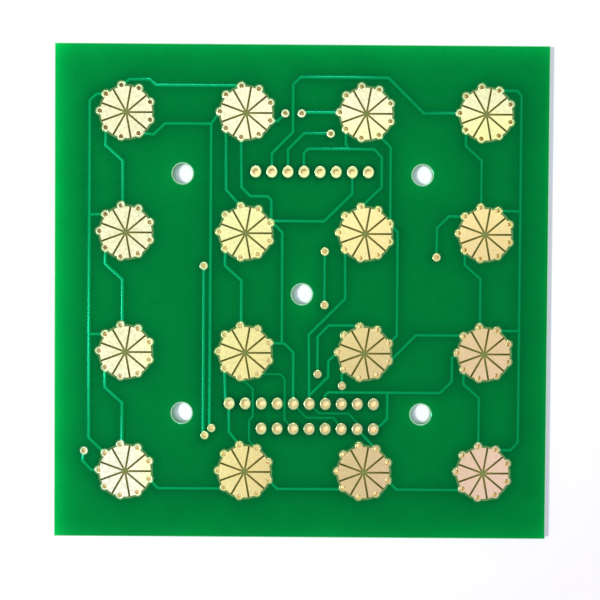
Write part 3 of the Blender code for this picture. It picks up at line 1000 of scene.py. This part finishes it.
# %% [markdown]
# ## A plated hole
#
# Copper is plated down the wall of a hole and joins the ring on each face. Seen in section it is a
# channel, so it is turned, like a part on a lathe: the section is drawn as a closed line of vertices
# and spun once round the hole's axis. Small steps at the corners of the section round the rims, as
# plating does. Spin can leave the shape inside out, so its doubles are merged and its normals are
# worked out afresh.

# %% Turn a plated hole on the lathe
RIM = 0.02
TOUCHING = 0.0005


def plated_hole(name, bore, barrel, ring, sides):
    """A plated hole around the origin, with a ring on each face."""
    section = [
        (bore, GOLD_TOP - 2 * RIM),
        (bore + 0.3 * RIM, GOLD_TOP - 0.8 * RIM),
        (bore + RIM, GOLD_TOP - 0.2 * RIM),
        (bore + 2 * RIM, GOLD_TOP),
        (ring - 1.5 * RIM, GOLD_TOP),
        (ring - 0.5 * RIM, GOLD_TOP - 0.3 * RIM),
        (ring, GOLD_TOP - RIM),
        (ring, LAMINATE_TOP),
        (barrel, LAMINATE_TOP),
        (barrel, LAMINATE_BOTTOM),
        (ring, LAMINATE_BOTTOM),
        (ring, GOLD_BOTTOM + RIM),
        (ring - RIM, GOLD_BOTTOM),
        (bore + 2 * RIM, GOLD_BOTTOM),
        (bore, GOLD_BOTTOM + 2 * RIM),
        (bore, GOLD_TOP - 2 * RIM),
    ]
    made = draw_lines(name, [[(radius, 0, height) for radius, height in section]])
    edit(made, "VERT", "SELECT")
    bpy.ops.mesh.remove_doubles(threshold=TOUCHING * MM)
    bpy.ops.mesh.spin(steps=sides, angle=math.tau, center=(0, 0, 0), axis=(0, 0, 1))
    bpy.ops.mesh.select_all(action="SELECT")
    bpy.ops.mesh.remove_doubles(threshold=TOUCHING * MM)
    bpy.ops.mesh.normals_make_consistent(inside=False)
    leave_edit()
    return made


pin_hole = plated_hole("pin_hole", PIN_BORE, PIN_BARREL, PIN_RING, 32)
make_oval(pin_hole, PIN_OVAL)
via_hole = plated_hole("via_hole", VIA_BORE, VIA_BARREL, VIA_RING, 24)
lobe_hole = plated_hole("lobe_hole", VIA_BORE, VIA_BARREL, LOBE_RADIUS, 24)
print(f"a plated hole has {len(pin_hole.data.polygons)} faces")

# %% [markdown]
# ## A contact pad
#
# A contact pad is nine flat sectors of a disc, kept apart by narrow slots. One sector is cut from a
# disc by three bisecting planes: one along the middle of each neighbouring slot, moved over by half
# the slot's width, and one across the tip. Nine copies of it are turned into their places, and a
# plated hole is united with the rim of each, which makes its lobe.

# %% Cut one sector
SLOT_WIDTH = 0.32
SECTOR_EDGE = 0.012
TIP_RADIUS = 0.54


def cut_away(normal, distance):
    """In edit mode: what lies beyond a distance along a normal is removed, and the cut is closed."""
    bpy.ops.mesh.select_all(action="SELECT")
    place = Vector(normal) * distance * MM
    bpy.ops.mesh.bisect(plane_co=place, plane_no=normal, clear_outer=True, use_fill=True)


def make_sector():
    """The sector between the slots at 0 and 40 degrees, with its edges softened."""
    made = disc("sector", SECTOR_RADIUS, 180, (0, 0), LAMINATE_TOP, GOLD_TOP)
    angle = math.tau / SECTORS
    edit(made)
    cut_away((0, -1, 0), -SLOT_WIDTH / 2)
    cut_away((-math.sin(angle), math.cos(angle), 0), -SLOT_WIDTH / 2)
    cut_away((-math.cos(angle / 2), -math.sin(angle / 2), 0), -TIP_RADIUS)
    leave_edit()
    apply_modifier(made, "BEVEL", width=SECTOR_EDGE * MM, segments=1, limit_method="ANGLE")
    return made


sector = make_sector()
print(f"a sector has {len(sector.data.polygons)} faces")

# %% Turn copies of the sector round the hub
def turned_sector(number, bearing):
    """One sector in its place round the hub, with the plated hole of its lobe."""
    turned = copy_to(sector, f"sector_{number}", (0, 0))
    turned.rotation_euler.z = math.tau / SECTORS * number
    settle(turned)
    place = lobe_from_hub(bearing)
    middle_radius = (VIA_BORE + LOBE_RADIUS) / 2
    cutter = disc("lobe_drill", middle_radius, 24, place, -BOARD_THICKNESS, 2 * BOARD_THICKNESS)
    combine(turned, cutter, "DIFFERENCE")
    combine(turned, copy_to(lobe_hole, "lobe", place), "UNION")
    return turned


pad_pattern = join([turned_sector(*pair) for pair in enumerate(LOBE_BEARINGS)], "pad_pattern")
bpy.data.objects.remove(sector)
print(f"a contact pad has {len(pad_pattern.data.polygons)} faces")

# %% [markdown]
# ## Copper with its tracks
#
# Each pad is copied to its place on the grid and united with the strips that belong to it. A strip
# that starts at a hole is pulled back to the hole's ring, or it would show as a bar across the bore.
# The nets are made the same way, from plated holes and strips, and so are the holes without a track.

# %% Helpers that end a track inside a ring
RING_OVERLAP = 0.10
RINGS = ((PIN_RING, PIN_PLACES), (VIA_RING, VIA_PLACES), (LOBE_RADIUS, LOBES))
HOLES = [(place, ring) for ring, places in RINGS for place in places]


def pulled_back(end, towards):
    """A track's end, moved out to the ring of the hole that it starts from."""
    for place, ring in HOLES:
        if math.dist(end, place) < ring / 2:
            share = (ring - RING_OVERLAP) / math.dist(end, towards)
            return tuple(a + (b - a) * share for a, b in zip(end, towards))
    return end


def add_tracks(piece, node):
    """Unites a piece of copper with the tracks of the node it stands for, one by one."""
    for group, width in ((TRACKS, TRACK), (THIN_TRACKS, THIN_TRACK)):
        for route in group.get(node, []):
            cut = [pulled_back(route[0], route[1]), *route[1:-1], pulled_back(route[-1], route[-2])]
            combine(piece, strips("track", [cut], width, LAMINATE_TOP, TRACK_TOP), "UNION")


print(f"{len(HOLES)} holes have a ring")

# %% Sixteen contact pads
gold_pieces = {}
for row, column in PADS:
    node = f"contact_pad_r{row}c{column}"
    gold_pieces[node] = copy_to(pad_pattern, f"gold_pad_r{row}c{column}", hub(row, column))
    add_tracks(gold_pieces[node], node)
bpy.data.objects.remove(pad_pattern)
bpy.data.objects.remove(lobe_hole)
print(f"{len(gold_pieces)} contact pads")

# %% Nets and single plated holes
def hole_copy(hole):
    """A plated hole at the place that its name stands for."""
    pattern, places = (pin_hole, PINS) if hole in PINS else (via_hole, VIAS)
    return copy_to(pattern, f"hole_{hole}", places[hole])


for node in sorted(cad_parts):
    if not node.startswith(("net_", "eyelet_")):
        continue
    plated = [hole_copy(hole) for hole in re.findall(r"j\d_pin\d+|via_\d+", node)]
    name = node.replace("net_", "copper_").replace("eyelet_", "plated_hole_")
    gold_pieces[node] = join(plated, name)
    add_tracks(gold_pieces[node], node)
bpy.data.objects.remove(pin_hole)
bpy.data.objects.remove(via_hole)
for piece in gold_pieces.values():
    round_off(piece, 16)
print(f"{len(gold_pieces)} pieces of copper in all")

# %% [markdown]
# ## Painted light and shade under the mask
#
# Solder mask is a green varnish, and most of what is seen is the pale laminate below it. The laminate
# lets light spread sideways, and here that light is painted into the mask's colour, not rendered. The
# painted light glows near the board's edges, most of all at the left, and round the mounting holes,
# where light comes in from the side. The painted shade is darker close to copper, which light can't
# pass, and darkest round the plated holes. It is also darker wherever much of the area is copper. For
# that, a map of the copper is blurred over a few millimetres, which says how crowded each place is.
# None of this can be drawn with a pattern, because it follows the layout, so each point of the mask
# is given a value of painted light and shade, which is also lighter towards the far side.

# %% Map the copper, and blur the map
# Painted shade where much of the area is copper: a reach of blur and a strength for each.
CROWDING = [(1.0, 0.46), (2.5, 0.40)]
PLAN_STEP = 0.25


def copper_plan(pieces):
    """All upward faces of the copper, flattened, as a tree that finds the nearest one."""
    corners, faces = [], []
    for piece in pieces:
        start = len(corners)
        corners += [(v.co.x, v.co.y, 0) for v in piece.data.vertices]
        faces += [
            [start + index for index in face.vertices]
            for face in piece.data.polygons
            if faces_up(face) and face.center.z > LAMINATE_TOP * MM
        ]
    return BVHTree.FromPolygons(corners, faces)


def coverage(plan):
    """A square grid over the board: 1 where there is copper, 0 where there is none."""
    count = round(BOARD_SIDE / PLAN_STEP)
    places = [(number + 0.5) * PLAN_STEP - BOARD_SIDE / 2 for number in range(count)]
    down = Vector((0, 0, -1))
    rows = [
        [plan.ray_cast(Vector((x, y, 1)) * MM, down)[0] is not None for x in places]
        for y in places
    ]
    return np.array(rows, dtype=float)


def spread(grid, reach):
    """The grid blurred over a reach in millimetres, first along its rows and then its columns."""
    steps = np.arange(-round(3 * reach / PLAN_STEP), round(3 * reach / PLAN_STEP) + 1)
    weights = np.exp(-0.5 * (steps * PLAN_STEP / reach) ** 2)
    weights /= weights.sum()
    for axis in (0, 1):
        grid = np.apply_along_axis(np.convolve, axis, grid, weights, mode="same")
    return grid


plan = copper_plan(gold_pieces.values())
bare = coverage(plan)
crowd = sum(strength * spread(bare, reach) for reach, strength in CROWDING)
print(f"copper covers {bare.mean() * 100:.0f} % of the board")

# %% Painted shading for each point of the front mask
# Painted light from the edges and round the mounting holes, and painted shade near copper and round
# the plated holes.
EDGE_GLOW = {"left": (1.62, 1.17), "right": (0.51, 0.74), "far": (0.89, 1.72), "near": (0.57, 1.78)}
LEFT_REACH = (0.41, 7.25)
HOLE_GLOW = (0.27, 1.35)
COPPER_SHADE, PIN_SHADE, VIA_SHADE = (0.21, 1.0), (0.47, 0.36), (0.24, 0.36)
PAINTED_SHADING_LEVEL = 1.04
FAR_TILT = 0.044


def fading(strength_and_reach, distance):
    """An influence that fades with distance, in millimetres."""
    strength, reach = strength_and_reach
    return strength * math.exp(-distance / reach)


def to_rim(x, y, places, radius):
    """Distance from a place to the rim of the nearest of several round holes or rings."""
    return min(math.dist((x, y), place) for place in places) - radius


def painted_shading_at(x, y):
    """The painted light and shade of the mask at a place in millimetres, next to a plain stretch of
    it.
    """
    half = BOARD_SIDE / 2
    to_edges = {"left": half + x, "right": half - x, "far": half - y, "near": half + y}
    glow = sum(fading(EDGE_GLOW[side], distance) for side, distance in to_edges.items())
    glow += fading(LEFT_REACH, to_edges["left"])
    glow += fading(HOLE_GLOW, to_rim(x, y, MOUNTS, MOUNT_HOLE_RADIUS))
    to_copper = plan.find_nearest(Vector((x, y, 0)) * MM)[3] / MM
    last = len(crowd) - 1
    row, column = (min(last, max(0, int((value + half) / PLAN_STEP))) for value in (y, x))
    shade = 1 - fading(COPPER_SHADE, to_copper) - crowd[row, column]
    shade -= fading(PIN_SHADE, max(0.0, to_rim(x, y, PIN_PLACES, PIN_RING)))
    shade -= fading(VIA_SHADE, max(0.0, to_rim(x, y, VIA_PLACES, VIA_RING)))
    # Painted light and shade, a little lighter towards the far side.
    return PAINTED_SHADING_LEVEL * (1 + glow) * shade * (1 + FAR_TILT * y / half)


tones = [painted_shading_at(v.co.x / MM, v.co.y / MM) for v in front_mask.data.vertices]
front_mask.data.attributes.new("painted_shading", "FLOAT", "POINT").data.foreach_set("value", tones)
print(f"tones from {min(tones):.2f} to {max(tones):.2f} on {len(tones)} points")

# %% [markdown]
# ## Green solder mask
#
# The mask's colour is a deep green times its painted light and shade. Over copper it is lighter,
# because the metal sends the light straight back, and the point's height tells where that is. Over
# copper it is also painted lighter at the left and darker at the right, as a painted reflection of the
# light from the left. Soft clouds, a fine grain and a faint ripple from the weave below keep it from
# looking like plastic film. Where the film slopes down it gets thin, and it is painted paler there,
# partly for the thin film and partly as a painted highlight: a grey green at the windows, and at the
# mounting holes a mint that is painted light coming in. The sloping faces are found by their height,
# which is below the film's top.

# %% The finish of the mask
MASK_GREEN = (0.0001, 0.171, 0.0225)
OVER_COPPER = (0.0015, 0.32, 0.085)
# The film's slopes are painted paler: at the windows partly for the thin film and partly as a painted
# highlight, and at the mounting holes a mint that is painted light coming in.
WINDOW_EDGE = (0.11, 0.27, 0.095)
EDGE_MINT = (0.09, 0.34, 0.16)
MASK_GLOSS_TINT = (0.02, 1.0, 0.6)
GLOSS, SLOPE_GLOSS = 0.35, 0.06
# Painted reflection: over copper the mask is lighter at the left and darker at the right.
PAINTED_REFLECTION_FADE = (-36, 36, 1.22, 0.82)
CLOUD_SIZE, GRAIN_SIZE, RIPPLE_SIZE = 5.0, 0.35, 0.6


def mask_finish(name, green, over_copper, gloss, with_painted_shading=False):
    """Solder mask; with_painted_shading is for the front, whose points carry painted light and shade.
    """
    material, shader, here = new_material(name)
    clouds = uneven(noise(here, CLOUD_SIZE), 0.95, 1.05)
    grain = uneven(noise(here, GRAIN_SIZE, 3.0), 0.96, 1.04)
    light = clouds * grain
    # On the front, each point's painted light and shade.
    if with_painted_shading:
        light = light * add_node(here.tree, "ShaderNodeAttribute", "Fac", attribute_name="painted_shading")
    raised = ranged(coordinate(here, "Z"), MASK_TOP + 2 * MICRON, RIDGE_TOP - 2 * MICRON, 0, 1)
    # Painted reflection of the light from the left, by the X coordinate.
    painted_reflection = ranged(coordinate(here, "X"), *PAINTED_REFLECTION_FADE)
    set_inputs(shader, {
        "Base Color": blend(raised, scaled(green, light), scaled(over_copper, grain * painted_reflection)),
        "Normal": bumps(noise(here, RIPPLE_SIZE, 1.0), 0.0015),
        "Roughness": ranged(grain, 0.96, 1.04, 0.19, 0.25),
        "Specular Tint": MASK_GLOSS_TINT,
        "Specular IOR Level": gloss,
    })
    return material


front_green = mask_finish("solder_mask_front", MASK_GREEN, OVER_COPPER, GLOSS, with_painted_shading=True)
edge_green = mask_finish("solder_mask_at_windows", WINDOW_EDGE, WINDOW_EDGE, SLOPE_GLOSS)
edge_mint = mask_finish("solder_mask_at_edges", EDGE_MINT, EDGE_MINT, GLOSS)
for finish in (front_green, edge_green, edge_mint):
    front_mask.data.materials.append(finish)
back_mask.data.materials.append(mask_finish("solder_mask_back", MASK_GREEN, MASK_GREEN, GLOSS))
sloping = [
    face
    for face in front_mask.data.polygons
    if face.normal.z > 0.6 and face.center.z < (MASK_TOP - 2 * MICRON) * MM
]
for face in sloping:
    x, y = face.center.x / MM, face.center.y / MM
    at_mount = to_rim(x, y, MOUNTS, MOUNT_HOLE_RADIUS) < MOUNT_HOLE_RADIUS
    face.material_index = 2 if at_mount else 1
print(f"{len(sloping)} faces on the sloping edges of the film")

# %% [markdown]
# ## Gold
#
# The gold on a board is a very thin plating over nickel, so it is paler than jewellery and has a
# satin grain from the metal below. It is a metal, so all its colour is in its reflection. Its tint
# drifts over the board, from pale lemon at the far left to a pinkish tan at the near right: how far
# right times how far near gives the place in a ramp of colours. That drift is partly a real change of
# tint and partly a painted reflection, lighter towards the far left, where the lights stand. A weaker
# cast runs along the other diagonal. A finer mottling runs through it all, and it is deeper in colour
# down in the holes. The rings of the header holes have a greener cast, and so have the lobes at the
# rim of each pad.

# %% The finish of the gold
# Partly a real change of tint, and partly a painted reflection that is lighter towards the far left.
GOLD_DRIFT = [
    (0.00, (0.655, 0.655, 0.420)),
    (0.03, (0.710, 0.710, 0.470)),
    (0.05, (0.740, 0.740, 0.400)),
    (0.12, (0.730, 0.730, 0.340)),
    (0.24, (0.755, 0.685, 0.300)),
    (0.35, (0.730, 0.615, 0.280)),
    (0.46, (0.655, 0.535, 0.250)),
    (0.68, (0.640, 0.495, 0.275)),
    (1.00, (0.740, 0.535, 0.405)),
]
BARREL_GOLD = (0.85, 0.66, 0.31)
PAD_CAST = [
    (-57, (0.77, 0.77, 0.95)),
    (-38, (0.74, 0.74, 0.72)),
    (-19, (0.735, 0.735, 0.725)),
    (0, (0.77, 0.77, 0.77)),
    (19, (0.84, 0.82, 0.85)),
    (38, (0.85, 0.82, 0.85)),
    (57, (0.83, 0.83, 0.77)),
]
RING_CAST = [(-10, (0.51, 0.66, 0.67)), (12, (0.68, 0.77, 0.77))]
CAST_LEVEL, CAST_REACH = 1.3, 60
PAD_LOBES, NO_TINT = (0.72, 0.94, 0.82), (1.0, 1.0, 1.0)
X_RANGE, Y_RANGE, LOBE_RANGE = (-28, 29, 0, 1), (31, -28, 0, 1), (3.9, 4.4, 0, 1)
BARREL_DEPTH = 0.6
MOTTLING_SIZE, SATIN_SIZE = 0.5, 0.12


def gold_finish(name, cast, at_lobes):
    """Satin gold plating, with a cast along the diagonal and a tint for the lobes of the pads."""
    material, shader, here = new_material(name)
    x, y = coordinate(here, "X"), coordinate(here, "Y")
    mottling = noise(here, MOTTLING_SIZE, 3.0)
    drift = ranged(x, *X_RANGE) * ranged(y, *Y_RANGE)
    tint = colour_ramp(drift + uneven(mottling, -0.02, 0.02), GOLD_DRIFT)

    stops = [(along / CAST_REACH / 2 + 0.5, colour) for along, colour in cast]
    diagonal = colour_ramp(ranged(x + y, -CAST_REACH, CAST_REACH, 0, 1), stops)
    tint = tinted(tint, scaled(diagonal, CAST_LEVEL))
    at_rim = ranged(from_pad(x, y)[2], *LOBE_RANGE)
    tint = tinted(tint, blend(at_rim, NO_TINT, at_lobes))
    depth = ranged(coordinate(here, "Z"), LAMINATE_TOP - BARREL_DEPTH, GOLD_TOP - RIM, 1, 0)
    tint = blend(depth, tint, BARREL_GOLD)

    grain = noise(here, SATIN_SIZE)
    set_inputs(shader, {
        "Base Color": scaled(tint, uneven(grain, 0.97, 1.03)),
        "Roughness": uneven(mottling, 0.24, 0.32),
        "Normal": bumps(grain, 0.002),
        "Metallic": 1.0,
    })
    return material


pad_gold = gold_finish("gold_plating", PAD_CAST, PAD_LOBES)
ring_gold = gold_finish("gold_plating_on_rings", RING_CAST, NO_TINT)
for node, piece in gold_pieces.items():
    piece.data.materials.clear()
    piece.data.materials.append(pad_gold if node.startswith("contact_pad") else ring_gold)
print(f"gold on {len(gold_pieces)} pieces")

# %% [markdown]
# ## Bare laminate
#
# Bare laminate shows in the slots of the contact pads, at the hubs, on the board's sides and in the
# mounting holes. In the slots it is an olive brown, with painted shade that darkens it outwards, and
# with the weave of the glass in it, two sets of threads that cross. The hub is painted paler and
# greener, as light that reaches it, and so is the narrow gap between the gold and the mask. The open
# rims of the mounting holes are a pale mint. The distance from the nearest hub tells these places
# apart. On the sides the layers of glass show as fine level lines.

# %% The finish of the laminate
# Painted shade darkens the slots outwards, and painted light makes the hub and the gap by the mask
# paler.
SLOT_BROWN, SLOT_DARK = (0.173, 0.160, 0.026), (0.066, 0.074, 0.004)
GAP_GREEN = (0.130, 0.240, 0.070)
HUB_OLIVE = (0.205, 0.245, 0.070)
OPEN_MINT, SIDE_MINT = (0.42, 0.75, 0.50), (0.33, 0.62, 0.42)
WEAVE_PITCH, LAYER_PITCH = 0.45, 0.2
HUB_RANGE, SLOT_RANGE = (0.35, 0.75, 1, 0), (0.8, 3.4, 0, 1)
GAP_RANGE, OPEN_RANGE = (4.05, 4.12, 0, 1), (5.0, 5.2, 0, 1)


def threads(place, direction, pitch):
    """Parallel threads across one direction, from 0 between them to 1 at their middles."""
    inputs = {"Vector": place, "Scale": math.pi / 10 / pitch, "Distortion": 0.6, "Detail": 1.0}
    kinds = {"wave_type": "BANDS", "bands_direction": direction, "wave_profile": "SIN"}
    return feed("ShaderNodeTexWave", "Fac", inputs, **kinds)


def laminate_finish():
    """Woven glass in resin."""
    material, shader, here = new_material("glass_fibre_laminate")
    weave = threads(here, "X", WEAVE_PITCH) + threads(here, "Y", WEAVE_PITCH)
    distance = from_pad(coordinate(here, "X"), coordinate(here, "Y"))[2]
    top = blend(ranged(distance, *SLOT_RANGE), SLOT_BROWN, SLOT_DARK)
    top = blend(ranged(distance, *HUB_RANGE), top, HUB_OLIVE)
    top = blend(ranged(distance, *GAP_RANGE), top, GAP_GREEN)
    top = blend(ranged(distance, *OPEN_RANGE), top, OPEN_MINT)
    top = scaled(top, ranged(weave, 0.0, 2.0, 0.90, 1.10))
    layers = threads(here, "Z", LAYER_PITCH)
    side = scaled(SIDE_MINT, ranged(layers, 0.0, 1.0, 0.80, 1.05))
    normal = add_node(here.tree, "ShaderNodeNewGeometry", "True Normal")
    set_inputs(shader, {
        "Base Color": blend(abs(coordinate(normal, "Z")), side, top),
        "Roughness": ranged(weave, 0.0, 2.0, 0.50, 0.65),
        "Normal": bumps(weave, 0.003),
        "Specular IOR Level": 0.08,
    })
    return material


laminate.data.materials.append(laminate_finish())
print("laminate finished")

# %% [markdown]
# ## Put the pieces in the frame
#
# Nothing on a bare board moves, so every piece rides on the one body, root, and the piece of the frame
# that it stands for is hidden.

# %% Ride and replace
def place_in_frame(piece, node):
    """The piece rides on root, and the node of the frame that it stands for is hidden."""
    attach(piece, "root")
    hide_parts(node)


place_in_frame(laminate, "laminate")
place_in_frame(front_mask, "front_solder_mask")
place_in_frame(back_mask, "back_solder_mask")
for node, piece in gold_pieces.items():
    place_in_frame(piece, node)
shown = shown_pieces()
triangles = sum(len(face.vertices) - 2 for piece in shown for face in piece.data.polygons)
print(f"{len(shown)} pieces with {triangles} triangles")
